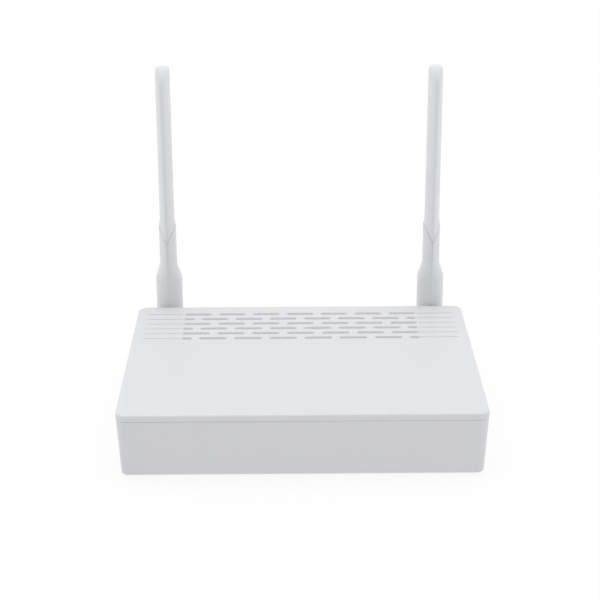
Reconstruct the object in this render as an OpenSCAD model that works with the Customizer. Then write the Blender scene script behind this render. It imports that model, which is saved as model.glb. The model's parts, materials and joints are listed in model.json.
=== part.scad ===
// Desktop optical network terminal: a flat drafted case with a slotted lid, a rear row of
// ports, and two paddle antennas that swivel and fold.
// Millimetres, +Z up. The plain front faces -Y and the ports face +Y.
// The origin is the centre of the whole outline, on the surface that the feet stand on.

/* [Case] */
// Width of the lid
case_w = 176; // [174:1:184]
// Depth of the lid, front to back
case_d = 140; // [138:1:150]
// Height of the case, without its feet
case_h = 32; // [31:0.5:35]
// Radius of the case's corners, seen from above
corner_r = 5; // [4.5:0.5:7]
// How far a wall leans in for each millimetre of height
wall_draft = 0.0576; // [0.04:0.002:0.064]
// Radius of the edge between the walls and the floor
floor_edge_r = 1.4; // [1:0.1:3]
// Height of the band that the lid shows from the side
lid_band_h = 3.1; // [2.5:0.1:3.4]
// Radius of the lid's upper edge
lid_edge_r = 0.9; // [0.5:0.1:1.2]
// Height of the rubber feet below the floor
foot_h = 1.2; // [0.8:0.1:2]

/* [Vents and lights] */
// Distance between two rows of slots in the lid
vent_pitch_y = 6.76; // [6:0.02:7]
// Distance between two slots of a row
vent_pitch_x = 18.35; // [18:0.05:18.6]
// Length of a slot
vent_len = 13.9; // [12:0.1:14.5]
// Width of a slot
vent_w = 2.3; // [1.5:0.1:2.6]
// Number of rows of slots
vent_rows = 6; // [4:1:6]
// Number of indicator lights
led_count = 12; // [8:1:12]
// Distance between two indicator lights
led_pitch = 9.5; // [9:0.1:10]

/* [Antennas] */
// Distance of each antenna from the middle of the case
antenna_x = 71.8; // [71:0.1:72.5]
// Distance of the hinge pins behind the lid's rear edge
antenna_off = 9; // [8.9:0.1:10]
// Height of the hinge pins above the case's floor
hinge_z = 16; // [15.5:0.1:16.5]
// Height of the antennas' tips above the case's floor
tip_z = 163.6; // [150:0.1:170]
// Outside radius of the round sleeve
sleeve_r = 7.2; // [7:0.1:7.6]
// Depth of the paddle at its upper end
paddle_d = 22; // [18:0.5:24]
// Thickness of the paddle at its upper end
paddle_w = 7.6; // [7:0.1:9]

/* [Hidden] */
$fn = 48;
eps = 0.01;
wall_t = 2.2;
floor_t = 2;
lid_t = 2.2;
lid_setback = 0.2;
shadow_gap = 0.5;
shadow_depth = 1.2;
inner_r = 2.4;
wall_top = case_h - lid_band_h - shadow_gap;
lid_bottom = case_h - lid_band_h;
lid_under = case_h - lid_t;
rear_y = case_d / 2 - lid_setback;
rear_inner_y = rear_y - wall_t;
case_y = -(antenna_off + paddle_d / 2) / 2;

// Main board
board_z = 6;
board_t = 1.6;
board_top = board_z + board_t;
board_x = 76;
board_front = -50;
board_back = 66.6;
board_post = [[-71, -44], [71, -44], [-62, 38], [62, 38]];
board_screw_r = 1.5;
tooling_at = [[-70, -20], [70, -36]];

// Screws that hold the lid to the floor
boss_at = [[-80, -60], [80, -60], [-80.5, 50], [80.5, 50]];
boss_r = 3.2;
boss_top = 10;
case_screw_r = 1.3;
case_screw_len = 14;
case_head_r = 2.5;

// Feet and wall keyholes
foot_at = [[-72, -57], [72, -57], [-72, 53], [72, 53]];
foot_r = 5;
foot_recess = 0.6;
keyhole_x = 52;
keyhole_y = 18;
keyhole_r = 3.6;
keyhole_slot_w = 3.6;
keyhole_slot_len = 8;

// Lid pattern
vent_first_y = 58.7;
vent_columns = 7;
vent_half_span = 62;
groove_end = 82.5;
groove_w = 0.55;
groove_depth = 0.5;
led_y = -38.5;
led_window = [3, 1.1];

// Rear sockets, each given by the middle of its mouth
lan_pitch = 17;
lan_x = [for (i = [0:3]) -29.5 + i * lan_pitch];
lan_size = [15.8, 21, 13.2];
tel_x = 38;
tel_size = [13.2, 18, 12.2];
optical_x = 55;
optical_size = [12.6, 20, 10];
dc_x = -48.4;
dc_size = [9.4, 14, 11.4];
dc_bore_r = 3.1;
dc_pin_r = 1;
dc_pin_len = 8.5;
reset_x = -41;
power_x = -58.4;
socket_face_y = rear_y - 0.3;
socket_gap = 0.2;
dc_z = board_top + 6;
power_z = board_top + 5.5;
reset_z = board_top + 4.4;
optical_z = board_top + 5.2;
power_button_r = 3.6;
button_gap = 0.3;

// Side ports
usb_y = 8;
usb_size = [15, 13.2, 5.8];
usb_wall = 0.35;
side_button_y = [-12, -26];
side_button = [7.5, 3.6];
side_button_z = board_top + 4;

// Antenna hinge, measured from the hinge pin
shaft_r = 4;
shaft_gap = 0.08;
lead_bore_r = 1.4;
flange_r = 7.2;
flange_gap = 0.15;
wall_outer = -antenna_off - lid_setback;
flange_back = wall_outer + flange_gap;
flange_front = flange_back + 2.1;
ear_r = 6.4;
ear_x = [3.7, 7.2];
tongue_half = 3.4;
tongue_r = 6.3;
pin_r = 1.5;
pin_gap = 0.06;
sleeve_bottom = 8;
shoulder_z = [47.2, 54.9];
neck_half = [4.65, 7.6];
neck_top = [4.6, 9.9];
paddle_root = [3.95, 9.4];
seam_apex_z = 68.4;
seam_side_z = 76.8;
spigot_r = 2.9;
spigot_z = 43;
spigot_len = 17;
radome_wall = 1.3;
element_r = 2.2;
tip_round = paddle_d / 2 - 1;
lens_end_r = 1.2;
neck_end_r = 1.9;
lens_steps = 7;
hull_fn = 64;

case_white = "#f0f0f2";
board_green = "#1f6b3f";
metal = "#c8cacc";
black_plastic = "#232325";

// ---------- Placing ----------

// From case coordinates, with z = 0 at the floor's underside, to the row frame
module in_case() {
    translate([0, case_y, foot_h]) children();
}

// From hinge pin coordinates to the row frame; side is -1 for left and 1 for right
module at_hinge(side) {
    in_case() translate([side * antenna_x, case_d / 2 + antenna_off, hinge_z]) children();
}

module on_board(x, y) {
    translate([x, y, board_top]) children();
}

// A cylinder whose axis runs along +Y, from y = 0
module rod_y(r, h) {
    rotate([-90, 0, 0]) cylinder(r = r, h = h);
}

// A cylinder whose axis runs along X, centred
module rod_x(r, h) {
    rotate([0, 90, 0]) cylinder(r = r, h = h, center = true);
}

// A block centred in X and Y that stands on z = 0
module block(size) {
    translate([-size[0] / 2, -size[1] / 2, 0]) cube(size);
}

// ---------- Flat shapes ----------

// Rectangle with round corners, from y0 to y1 and centred in X
module round_rect(half_x, y0, y1, r) {
    translate([-half_x + r, y0]) square([2 * (half_x - r), y1 - y0]);
    translate([-half_x, y0 + r]) square([2 * half_x, y1 - y0 - 2 * r]);
    for (x = [-half_x + r, half_x - r], y = [y0 + r, y1 - r]) translate([x, y]) circle(r);
}

// Straight slot with round ends, centred, running along X
module slot_2d(len, w) {
    square([len - w, w], center = true);
    for (x = [-1, 1]) translate([x * (len - w) / 2, 0]) circle(w / 2);
}

// Case outline with the sides and front drawn in by side_in and the rear by rear_in
module outline(side_in, rear_in) {
    round_rect(case_w / 2 - side_in, -case_d / 2 + side_in, case_d / 2 - rear_in,
        max(corner_r - side_in, 1));
}

// Puts a round corner piece of radius r in each corner of such an outline
module at_corners(side_in, rear_in, r, z) {
    x = case_w / 2 - side_in - r;
    for (side = [-x, x], y = [-case_d / 2 + side_in + r, case_d / 2 - rear_in - r])
        translate([side, y, z]) children();
}

function wall_in(z) = lid_setback + (wall_top - z) * wall_draft;

// ---------- Lid ----------

module lid_corner() {
    rotate_extrude($fn = hull_fn) polygon(concat([[0, 0], [corner_r, 0]],
        [for (t = [0:15:90]) [corner_r - lid_edge_r * (1 - cos(t)),
            lid_band_h - lid_edge_r * (1 - sin(t))]],
        [[0, lid_band_h]]));
}

module lid_body() {
    hull() at_corners(0, 0, corner_r, lid_bottom) lid_corner();
}

module lid_posts() {
    for (p = boss_at) translate([p[0], p[1], boss_top]) difference() {
        cylinder(r = boss_r, h = lid_under - boss_top + eps);
        translate([0, 0, -eps]) cylinder(r = case_screw_r, h = case_screw_len - boss_top + 5);
    }
}

// Ring that hangs inside the walls and centres the lid
module lid_skirt() {
    skirt_in = wall_in(wall_top) + wall_t + 0.5;
    translate([0, 0, lid_under - 4]) linear_extrude(4 + eps) difference() {
        outline(skirt_in, skirt_in);
        outline(skirt_in + 1.2, skirt_in + 1.2);
    }
}

module vent_row(row) {
    shifted = row % 2;
    for (i = [0:vent_columns - 1]) {
        x = (i - (vent_columns - 1) / 2 + shifted / 2) * vent_pitch_x;
        if (!shifted || i < vent_columns - 1) translate([x, 0]) slot_2d(vent_len, vent_w);
    }
    end_len = vent_half_span - (vent_columns - 1) / 2 * vent_pitch_x - vent_w;
    if (shifted) for (s = [-1, 1])
        translate([s * (vent_half_span - end_len / 2), 0]) slot_2d(end_len, vent_w);
}

module lid_vents() {
    for (row = [0:vent_rows - 1]) translate([0, vent_first_y - row * vent_pitch_y])
        vent_row(row);
}

module lid_grooves() {
    for (row = [0:vent_rows - 1], s = [-1, 1])
        translate([s * (groove_end + vent_half_span) / 2, vent_first_y - row * vent_pitch_y,
            case_h - groove_depth])
            linear_extrude(1) slot_2d(groove_end - vent_half_span, groove_w);
}

module each_led() {
    for (i = [0:led_count - 1]) translate([(i - (led_count - 1) / 2) * led_pitch, led_y])
        children();
}

module top_cover() {
    color(case_white) in_case() {
        difference() {
            lid_body();
            translate([0, 0, lid_bottom - 1]) linear_extrude(lid_under - lid_bottom + 1)
                outline(wall_t + 1, wall_t + 1);
            translate([0, 0, lid_under - 1]) linear_extrude(lid_t + 2) {
                lid_vents();
                each_led() slot_2d(led_window[0], led_window[1]);
            }
            lid_grooves();
        }
        lid_posts();
        lid_skirt();
    }
}

// ---------- Bottom case ----------

// Quarter-round disc that rounds the edge between a wall's corner and the floor
module floor_corner(r) {
    rotate_extrude($fn = hull_fn) polygon(concat([[0, 0]],
        [for (t = [0:15:90]) [r - floor_edge_r * (1 - sin(t)), floor_edge_r * (1 - cos(t))]],
        [[0, floor_edge_r]]));
}

module shell_outside() {
    low_in = wall_in(floor_edge_r);
    hull() {
        at_corners(low_in, lid_setback, corner_r - low_in, 0) floor_corner(corner_r - low_in);
        at_corners(lid_setback, lid_setback, corner_r - lid_setback, wall_top)
            cylinder(r = corner_r - lid_setback, h = shadow_gap, $fn = hull_fn);
    }
}

module shell_inside() {
    low_in = wall_in(floor_t + 1) + wall_t;
    top_in = lid_setback + wall_t;
    hull() {
        at_corners(low_in, top_in, inner_r, floor_t)
            cylinder(r1 = inner_r - 1, r2 = inner_r, h = 1, $fn = 32);
        at_corners(top_in, top_in, inner_r, wall_top)
            cylinder(r = inner_r, h = 2, $fn = 32);
    }
}

// Groove that shows as a dark line under the lid
module shadow_line() {
    translate([0, 0, wall_top]) linear_extrude(shadow_gap + 1) difference() {
        outline(-2, -2);
        outline(shadow_depth, shadow_depth);
    }
}

module rear_hole(x, size) {
    translate([x - size[0] / 2 - socket_gap, rear_inner_y - 1, board_top - socket_gap])
        cube([size[0] + 2 * socket_gap, wall_t + 3, size[2] + 2 * socket_gap]);
}

module rear_openings() {
    for (x = lan_x) rear_hole(x, lan_size);
    rear_hole(tel_x, tel_size);
    rear_hole(optical_x, optical_size);
    rear_hole(dc_x, dc_size);
    translate([power_x, rear_inner_y - 1, power_z])
        rod_y(power_button_r + button_gap, wall_t + 3);
    translate([reset_x, rear_inner_y - 1, reset_z]) rod_y(0.9, wall_t + 3);
    for (s = [-1, 1]) translate([s * antenna_x, rear_inner_y - 1, hinge_z])
        rod_y(shaft_r + shaft_gap, wall_t + 3);
}

module side_slot(y, z, len, w, r) {
    translate([case_w / 2 - 6, y, z]) rotate([90, 0, 90]) linear_extrude(8)
        round_rect(len / 2, -w / 2, w / 2, r);
}

module side_openings() {
    translate([case_w / 2 - 6, usb_y - usb_size[1] / 2 - socket_gap, board_top - socket_gap])
        cube([8, usb_size[1] + 2 * socket_gap, usb_size[2] + 2 * socket_gap]);
    for (y = side_button_y) side_slot(y, side_button_z, side_button[0] + 2 * button_gap,
        side_button[1] + 2 * button_gap, 1);
}

module floor_vents() {
    for (row = [0:4], i = [0:6]) translate([(i - 3) * 11, 10 - row * 9, -1])
        linear_extrude(floor_t + 2) slot_2d(8, 2);
}

module keyholes() {
    for (s = [-1, 1]) translate([s * keyhole_x, keyhole_y, -1]) linear_extrude(floor_t + 2) {
        circle(keyhole_r);
        translate([-keyhole_slot_w / 2, -keyhole_slot_len])
            square([keyhole_slot_w, keyhole_slot_len]);
        translate([0, -keyhole_slot_len]) circle(keyhole_slot_w / 2);
    }
}

module floor_posts() {
    for (p = boss_at) translate([p[0], p[1], floor_t - eps])
        cylinder(r = boss_r, h = boss_top - floor_t + eps);
    for (p = board_post) translate([p[0], p[1], floor_t - eps])
        cylinder(r = 2.8, h = board_z - floor_t + eps);
}

module floor_holes() {
    for (p = boss_at) translate([p[0], p[1], -1]) {
        cylinder(r = case_head_r + 0.3, h = 3.4);
        cylinder(r = case_screw_r + 0.25, h = boss_top + 2);
    }
    for (p = board_post) translate([p[0], p[1], floor_t + 0.5]) cylinder(r = 1.1, h = 6);
    for (p = foot_at) translate([p[0], p[1], -1]) cylinder(r = foot_r + 0.1, h = 1 + foot_recess);
    translate([-26, -58, -1]) cube([52, 22, 1.2]);
}

module bottom_case() {
    color(case_white) in_case() difference() {
        union() {
            difference() {
                shell_outside();
                shell_inside();
            }
            floor_posts();
        }
        shadow_line();
        rear_openings();
        side_openings();
        floor_vents();
        keyholes();
        floor_holes();
    }
}

module rubber_feet() {
    color("#3a3a3c") in_case() for (p = foot_at) translate([p[0], p[1], -foot_h]) {
        cylinder(r1 = foot_r - 0.5, r2 = foot_r, h = 0.5);
        translate([0, 0, 0.5]) cylinder(r = foot_r, h = foot_h + foot_recess - 0.5);
    }
}

module case_screws() {
    color(metal) in_case() for (p = boss_at) translate([p[0], p[1], 0.6]) difference() {
        union() {
            cylinder(r = case_head_r, h = 1.8);
            cylinder(r = case_screw_r, h = case_screw_len);
        }
        for (a = [0, 90]) rotate([0, 0, a]) cube([2.8, 0.7, 2], center = true);
    }
}

// Blank label in the floor's shallow recess
module rating_label() {
    color("white") in_case() translate([-25.5, -57.5, 0.05]) cube([51, 21, 0.15]);
}

module light_guide() {
    color([0.9, 0.95, 0.95, 0.7]) in_case() {
        each_led() {
            translate([0, 0, board_top + 1.4])
                block([led_window[0] - 0.2, 2.4, lid_under - board_top - 1.4]);
            translate([0, 0, lid_under - eps]) linear_extrude(lid_t + eps - 0.02)
                slot_2d(led_window[0] - 0.1, led_window[1] - 0.1);
        }
        translate([-(led_count - 1) / 2 * led_pitch, led_y - 1.2, lid_under - 6])
            cube([(led_count - 1) * led_pitch, 2.4, 2.5]);
    }
}

module indicator_leds() {
    color("#e8f0d0") in_case() each_led() translate([0, 0, board_top]) {
        block([2, 1.25, 0.5]);
        translate([0, 0, 0.5]) block([1.2, 1.25, 0.4]);
    }
}

// ---------- Main board ----------

module main_board() {
    color(board_green) in_case() translate([0, 0, board_z]) linear_extrude(board_t)
        difference() {
            translate([-board_x, board_front]) square([2 * board_x, board_back - board_front]);
            for (p = board_post) translate(p) circle(board_screw_r + 0.2);
            for (p = tooling_at) translate(p) circle(2);
        }
}

module board_screws() {
    color(metal) in_case() for (p = board_post) translate([p[0], p[1], 0]) {
        translate([0, 0, board_top]) difference() {
            cylinder(r = 2.6, h = 1.4);
            for (a = [0, 90]) rotate([0, 0, a]) translate([-1.4, -0.35, 0.7]) cube([2.8, 0.7, 1]);
        }
        translate([0, 0, floor_t + 0.6]) cylinder(r = 1.05, h = board_top - floor_t - 0.6);
    }
}

// A flat chip with a pin-one dimple
module chip(size, thick) {
    difference() {
        block([size[0], size[1], thick]);
        translate([-size[0] / 2 + 1.2, size[1] / 2 - 1.2, thick - 0.1]) cylinder(r = 0.5, h = 1);
    }
}

// A leaded package, with legs along two sides
module leaded_chip(size, thick, legs) {
    difference() {
        translate([0, 0, 0.1]) block([size[0], size[1], thick]);
        translate([-size[0] / 2 + 1, size[1] / 2 - 1, thick]) cylinder(r = 0.4, h = 1);
    }
    pitch = (size[0] - 1) / (legs - 1);
    for (i = [0:legs - 1], s = [-1, 1])
        translate([(i - (legs - 1) / 2) * pitch, s * (size[1] / 2 + 0.5), 0])
            block([0.4, 1, 0.5]);
}

processor_at = [-18, 2];
processor_h = 1.3;
pad_h = 0.7;

module processor() {
    color(black_plastic) in_case() on_board(processor_at[0], processor_at[1])
        chip([17, 17], processor_h);
}

module processor_pad() {
    color("#9fb4c8") in_case() on_board(processor_at[0], processor_at[1])
        translate([0, 0, processor_h]) block([15, 15, pad_h]);
}

module heat_sink() {
    fins = 9;
    size = 34;
    color("#b4b7ba") in_case() on_board(processor_at[0], processor_at[1])
        translate([0, 0, processor_h + pad_h]) {
            block([size, size, 2]);
            for (i = [0:fins - 1])
                translate([(i - (fins - 1) / 2) * (size - 1.2) / (fins - 1), 0, 2 - eps])
                    block([1.2, size, 9]);
        }
}

module memory_chip() {
    color(black_plastic) in_case() on_board(-46, 2) chip([9, 13], 1);
}

module flash_chip() {
    color(black_plastic) in_case() on_board(-46, -20) leaded_chip([12, 8], 1.1, 8);
}

module wifi_chip() {
    color(black_plastic) in_case() on_board(20, -8) chip([9, 9], 0.9);
}

// Folded metal lid over the radio, with a row of breathing holes
module wifi_shield() {
    color(metal) in_case() on_board(20, -8) difference() {
        block([30, 26, 3.2]);
        translate([0, 0, -eps]) block([29.4, 25.4, 2.9]);
        for (i = [0:4], j = [0:3]) translate([(i - 2) * 5, (j - 1.5) * 5, 0])
            cylinder(r = 0.8, h = 5);
    }
}

module line_chip() {
    color(black_plastic) in_case() on_board(44, 36) leaded_chip([8, 8], 1, 6);
}

module crystals() {
    color(metal) in_case() for (p = [[-34, -14], [36, -28], [2, 22]]) on_board(p[0], p[1])
        block([5, 3.2, 1.2]);
}

module capacitors() {
    color("#3b4a63") in_case()
        for (p = [[-66, 24, 4], [-66, 10, 4], [-56, 14, 3.2], [-66, -4, 3.2], [56, 8, 3.2]])
            on_board(p[0], p[1]) {
                block([2 * p[2] + 0.6, 2 * p[2] + 0.6, 0.8]);
                translate([0, 0, 0.8 - eps]) cylinder(r = p[2], h = 9);
            }
}

module inductors() {
    color("#54565a") in_case() for (p = [[-54, -8], [-54, 28], [-44, 33]])
        on_board(p[0], p[1]) {
            block([7, 7, 3.2]);
            translate([0, 0, 3.2 - eps]) cylinder(r = 2.6, h = 0.3);
        }
}

// Chip resistors and ceramic capacitors in short rows
module chip_components() {
    color("#b9a27a") in_case() {
        for (i = [0:9]) on_board(-45 + i * 4, 24) block([1, 2, 0.7]);
        for (i = [0:7]) on_board(-44 + i * 2.6, -30) block([1.6, 0.8, 0.5]);
        for (i = [0:5]) on_board(40, -18 + i * 3) block([2, 1, 0.7]);
        for (i = [0:7]) on_board(8 + i * 4, 24) block([1, 2, 0.7]);
        for (i = [0:led_count - 1])
            on_board((i - (led_count - 1) / 2) * led_pitch, led_y + 6) block([1.6, 0.8, 0.5]);
    }
}

module lan_transformers() {
    color(black_plastic) in_case() for (x = lan_x) on_board(x, 38)
        leaded_chip([13, 8.5], 5.4, 8);
}

module coax_sockets() {
    color("#d8b45a") in_case() for (s = [-1, 1]) on_board(s * lead_route[0][0], lead_route[0][1]) {
        block([2.6, 2.6, 0.5]);
        cylinder(r = 1, h = 1.1);
    }
}

// ---------- Rear sockets ----------

// A box with its mouth at y = 0 facing +Y, centred in X and standing on z = 0
module socket_box(size) {
    translate([-size[0] / 2, -size[1], 0]) cube(size);
}

module at_socket(x) {
    in_case() translate([x, socket_face_y, board_top]) children();
}

module lan_jack(i) {
    color("#e8b923") at_socket(lan_x[i]) difference() {
        socket_box(lan_size);
        translate([-5.9, -13, 3.2]) cube([11.8, 14, 7.8]);
        translate([-3.3, -13, 1.7]) cube([6.6, 14, 2]);
        translate([-1.6, -13, 0.9]) cube([3.2, 14, 1]);
    }
}

// Spring wires that hang from the socket's roof and slope into it
module spring_contacts(count, pitch, roof_z, depth) {
    for (i = [0:count - 1]) translate([(i - (count - 1) / 2) * pitch, -depth, roof_z - 0.3]) {
        translate([-0.2, 0, 0]) cube([0.4, depth - 3, 0.3]);
        translate([-0.2, depth - 3.2, 0]) rotate([194, 0, 0]) translate([0, 0, -0.3])
            cube([0.4, 7, 0.3]);
    }
}

module lan_contacts() {
    color("#dcc06a") for (x = lan_x) at_socket(x) spring_contacts(8, 1.02, 11, 12.9);
}

module tel_jack() {
    color("#b9bcc0") at_socket(tel_x) difference() {
        socket_box(tel_size);
        translate([-4.9, -12, 3]) cube([9.8, 13, 6.9]);
        translate([-3.1, -12, 1.6]) cube([6.2, 13, 2]);
        translate([-1.5, -12, 0.8]) cube([3, 13, 1]);
    }
}

module tel_contacts() {
    color("#dcc06a") at_socket(tel_x) spring_contacts(4, 1.02, 9.9, 11.9);
}

module dc_jack() {
    color(black_plastic) at_socket(dc_x) difference() {
        socket_box(dc_size);
        translate([0, -10, dc_z - board_top]) rod_y(dc_bore_r, 11);
    }
}

module dc_jack_pin() {
    color(metal) at_socket(dc_x) translate([0, -10, dc_z - board_top]) rod_y(dc_pin_r, dc_pin_len);
}

module power_switch() {
    color(black_plastic) in_case() difference() {
        translate([power_x - 4, 45, board_top]) cube([8, 14, 9.4]);
        translate([power_x, 50, power_z]) rod_y(2.15, 12);
    }
}

// Round latching push button, with a stem that runs into its switch
module power_button() {
    color("#e4e5e7") in_case() translate([power_x, 0, power_z]) {
        translate([0, rear_y - 4.4, 0]) rod_y(power_button_r, 6.4);
        translate([0, rear_y + 2 - eps, 0]) rotate([-90, 0, 0])
            cylinder(r1 = power_button_r, r2 = power_button_r - 0.6, h = 0.6);
        translate([0, 53.5, 0]) rod_y(2.05, rear_y - 4.4 - 53.5 + eps);
    }
}

module reset_switch() {
    color(black_plastic) in_case() difference() {
        translate([reset_x - 2.3, 56, board_top]) cube([4.6, 6, 7]);
        translate([reset_x, 59, reset_z]) rod_y(1.05, 4);
    }
}

module reset_plunger() {
    color("#c9cbce") in_case() translate([reset_x, 59.6, reset_z]) rod_y(0.95, 6.2);
}

// Single square fibre socket with its alignment sleeve in the middle
module optical_receptacle() {
    color("#2f78b8") at_socket(optical_x) {
        difference() {
            socket_box(optical_size);
            translate([-4.7, -13, optical_z - board_top - 3.8]) cube([9.4, 14, 7.6]);
            translate([-1.6, -13, optical_z - board_top + 3]) cube([3.2, 14, 1.3]);
        }
        translate([0, -13 - eps, optical_z - board_top]) difference() {
            rod_y(1.95, 8.5);
            rod_y(1.25, 9);
        }
    }
}

// Laser and photodiode cans on their metal body, behind the fibre socket
module optical_subassembly() {
    color(metal) in_case() translate([optical_x, 0, optical_z]) {
        translate([0, 45.4, 0]) rod_y(2.6, socket_face_y - optical_size[1] - 45.4);
        translate([-3.5, 37.4, -3.5]) cube([7, 8, 7]);
        translate([0, 32.4, 0]) rod_y(2.3, 5);
        translate([6.2, 41.4, 0]) rod_x(2.3, 5.4);
    }
}

module optics_shield() {
    color(metal) in_case() on_board(56, 24) difference() {
        block([16, 11, 3]);
        translate([0, 0, -eps]) block([15.4, 10.4, 2.7]);
    }
}

// Hollow plug that keeps dust out of the fibre socket
module dust_plug() {
    color("#2d2f33") at_socket(optical_x) translate([0, 0, optical_z - board_top]) {
        difference() {
            translate([-4.4, -9, -3.5]) cube([8.8, 9.4, 7]);
            translate([-3.4, -10, -2.5]) cube([6.8, 9.4, 5]);
        }
        translate([-5.9, 0.4 - eps, -4.4]) cube([11.8, 1.4, 8.8]);
        translate([-4.6, 1.8 - 2 * eps, -3.2]) cube([9.2, 3.4, 6.4]);
    }
}

// ---------- Side port and buttons ----------

usb_mouth_x = case_w / 2 - wall_in(board_top + 3) - 0.4;

module usb_shell() {
    color(metal) in_case() translate([usb_mouth_x - usb_size[0], usb_y, board_top])
        difference() {
            translate([0, -usb_size[1] / 2, 0]) cube(usb_size);
            translate([usb_wall, usb_wall - usb_size[1] / 2, usb_wall])
                cube([usb_size[0], usb_size[1] - 2 * usb_wall, usb_size[2] - 2 * usb_wall]);
        }
}

module usb_tongue() {
    color("#f4f4f4") in_case()
        translate([usb_mouth_x - usb_size[0] + usb_wall, usb_y - 5.8, board_top + 3.5])
            cube([usb_size[0] - 2.2, 11.6, 1.9]);
}

module side_switches() {
    color(black_plastic) in_case() for (y = side_button_y) {
        translate([71, y - 3, board_top]) cube([4.6, 6, 6.6]);
        translate([75.6 - eps, y, side_button_z]) rotate([0, 90, 0]) cylinder(r = 1.6, h = 1.2);
    }
}

// A key cap in the side wall, with a collar inside the case that keeps it there
module side_button(y) {
    collar_x = case_w / 2 - wall_in(side_button_z) - wall_t - 1.9;
    color("#e4e5e7") in_case() translate([0, y, side_button_z]) {
        translate([77.4, 0, 0]) rotate([90, 0, 90]) linear_extrude(collar_x - 77.4 + 1)
            square([4, 2.6], center = true);
        translate([collar_x, 0, 0]) rotate([90, 0, 90]) linear_extrude(1.1)
            round_rect(side_button[0] / 2 + 1, -side_button[1] / 2 - 0.8,
                side_button[1] / 2 + 0.8, 1);
        translate([collar_x + 1, 0, 0]) rotate([90, 0, 90]) linear_extrude(3.5)
            round_rect(side_button[0] / 2, -side_button[1] / 2, side_button[1] / 2, 1);
    }
}

module wlan_button() {
    side_button(side_button_y[0]);
}

module wps_button() {
    side_button(side_button_y[1]);
}

// ---------- Antennas ----------

// Outline of a blade: two long side arcs that run smoothly into two small round ends
function lens_outline(half, end_r) =
    let (end_y = half[1] - end_r,
        side_r = (pow(half[0], 2) - pow(end_r, 2) + pow(end_y, 2)) / (2 * (half[0] - end_r)),
        turn = atan2(end_y, side_r - half[0]))
    [for (s = [1, -1]) each concat(
        [for (i = [-lens_steps:lens_steps]) let (t = turn * i / lens_steps)
            s * [side_r * cos(t) - side_r + half[0], side_r * sin(t)]],
        [for (i = [1:lens_steps - 1]) let (t = turn + (180 - 2 * turn) * i / lens_steps)
            s * [end_r * cos(t), end_y + end_r * sin(t)]])];

module lens_layer(z, half, end_r) {
    translate([0, 0, z - hinge_z]) linear_extrude(eps) polygon(lens_outline(half, end_r));
}

module oval_layer(z, half) {
    translate([0, 0, z - hinge_z]) linear_extrude(eps) polygon(
        [for (t = [0:7.5:352.5]) [half[0] * cos(t), half[1] * sin(t)]]);
}

// Half thickness and half depth of the paddle at height z
function paddle_half(z) =
    let (k = (z - seam_apex_z) / (tip_z - seam_apex_z))
    [paddle_root[0] + (paddle_w / 2 - paddle_root[0]) * k,
        paddle_root[1] + (paddle_d / 2 - paddle_root[1]) * k];

// Side view of the paddle with its round upper end, drawn in by inset
module tip_profile(inset) {
    half = paddle_d / 2 - inset;
    translate([-10, 0, 0]) rotate([90, 0, 90]) linear_extrude(20) hull() {
        for (s = [-1, 1]) translate([s * (paddle_d / 2 - tip_round), tip_z - tip_round - hinge_z])
            circle(tip_round - inset, $fn = hull_fn);
        translate([-half, 0]) square([2 * half, 10]);
    }
}

// The paddle's solid from z0 to the tip, drawn in all round by inset
module paddle(z0, inset = 0) {
    shrink = [inset, inset];
    intersection() {
        hull() {
            lens_layer(z0, paddle_half(z0) - shrink, lens_end_r);
            lens_layer(tip_z + 1, paddle_half(tip_z + 1) - shrink, lens_end_r);
        }
        tip_profile(inset);
    }
}

// Everything below the V-shaped seam between sleeve and radome
module below_seam(gap) {
    rise = seam_side_z - seam_apex_z;
    half = neck_half[0];
    translate([0, 20, 0]) rotate([90, 0, 0]) linear_extrude(40) polygon([
        [-4 * half, -20], [4 * half, -20],
        [4 * half, seam_apex_z - hinge_z + 4 * rise - gap], [0, seam_apex_z - hinge_z - gap],
        [-4 * half, seam_apex_z - hinge_z + 4 * rise - gap]
    ]);
}

module neck() {
    hull() {
        lens_layer(shoulder_z[1] - 1, neck_half, neck_end_r);
        lens_layer(seam_side_z + 1, neck_top, neck_end_r);
    }
    hull() {
        oval_layer(shoulder_z[0] - 1.6, [sleeve_r - 0.1, sleeve_r - 0.1]);
        oval_layer(shoulder_z[0] + 0.6, [sleeve_r - 0.35, sleeve_r - 0.06]);
        oval_layer(shoulder_z[1] - 1, [neck_half[0] + 0.35, neck_half[1] - 0.04]);
        lens_layer(shoulder_z[1], neck_half - [0.04, 0.04], neck_end_r);
    }
}

// Lower half of the antenna: hinge tongue, round sleeve, shoulder and neck
module antenna_sleeve(side) {
    color(case_white) at_hinge(side) difference() {
        union() {
            rod_x(tongue_r, 2 * tongue_half);
            translate([-tongue_half, -tongue_r, 0])
                cube([2 * tongue_half, 2 * tongue_r, sleeve_bottom + 1]);
            translate([0, 0, sleeve_bottom])
                cylinder(r = sleeve_r, h = shoulder_z[0] - 0.6 - hinge_z - sleeve_bottom);
            intersection() {
                neck();
                below_seam(0);
            }
        }
        rod_x(pin_r + pin_gap, 20);
        translate([0, 0, sleeve_bottom + 3]) cylinder(r = spigot_r + 0.05, h = 80);
    }
}

// Upper half of the antenna: a hollow paddle with a tube that goes down into the sleeve
module antenna_radome(side) {
    color(case_white) at_hinge(side) difference() {
        union() {
            difference() {
                paddle(seam_apex_z - 6);
                below_seam(-0.03);
            }
            translate([0, 0, spigot_z]) cylinder(r = spigot_r, h = spigot_len);
        }
        translate([0, 0, spigot_z - 1]) cylinder(r = element_r + 0.1, h = spigot_len + 4);
        paddle(seam_side_z + 1.5, radome_wall);
    }
}

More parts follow.
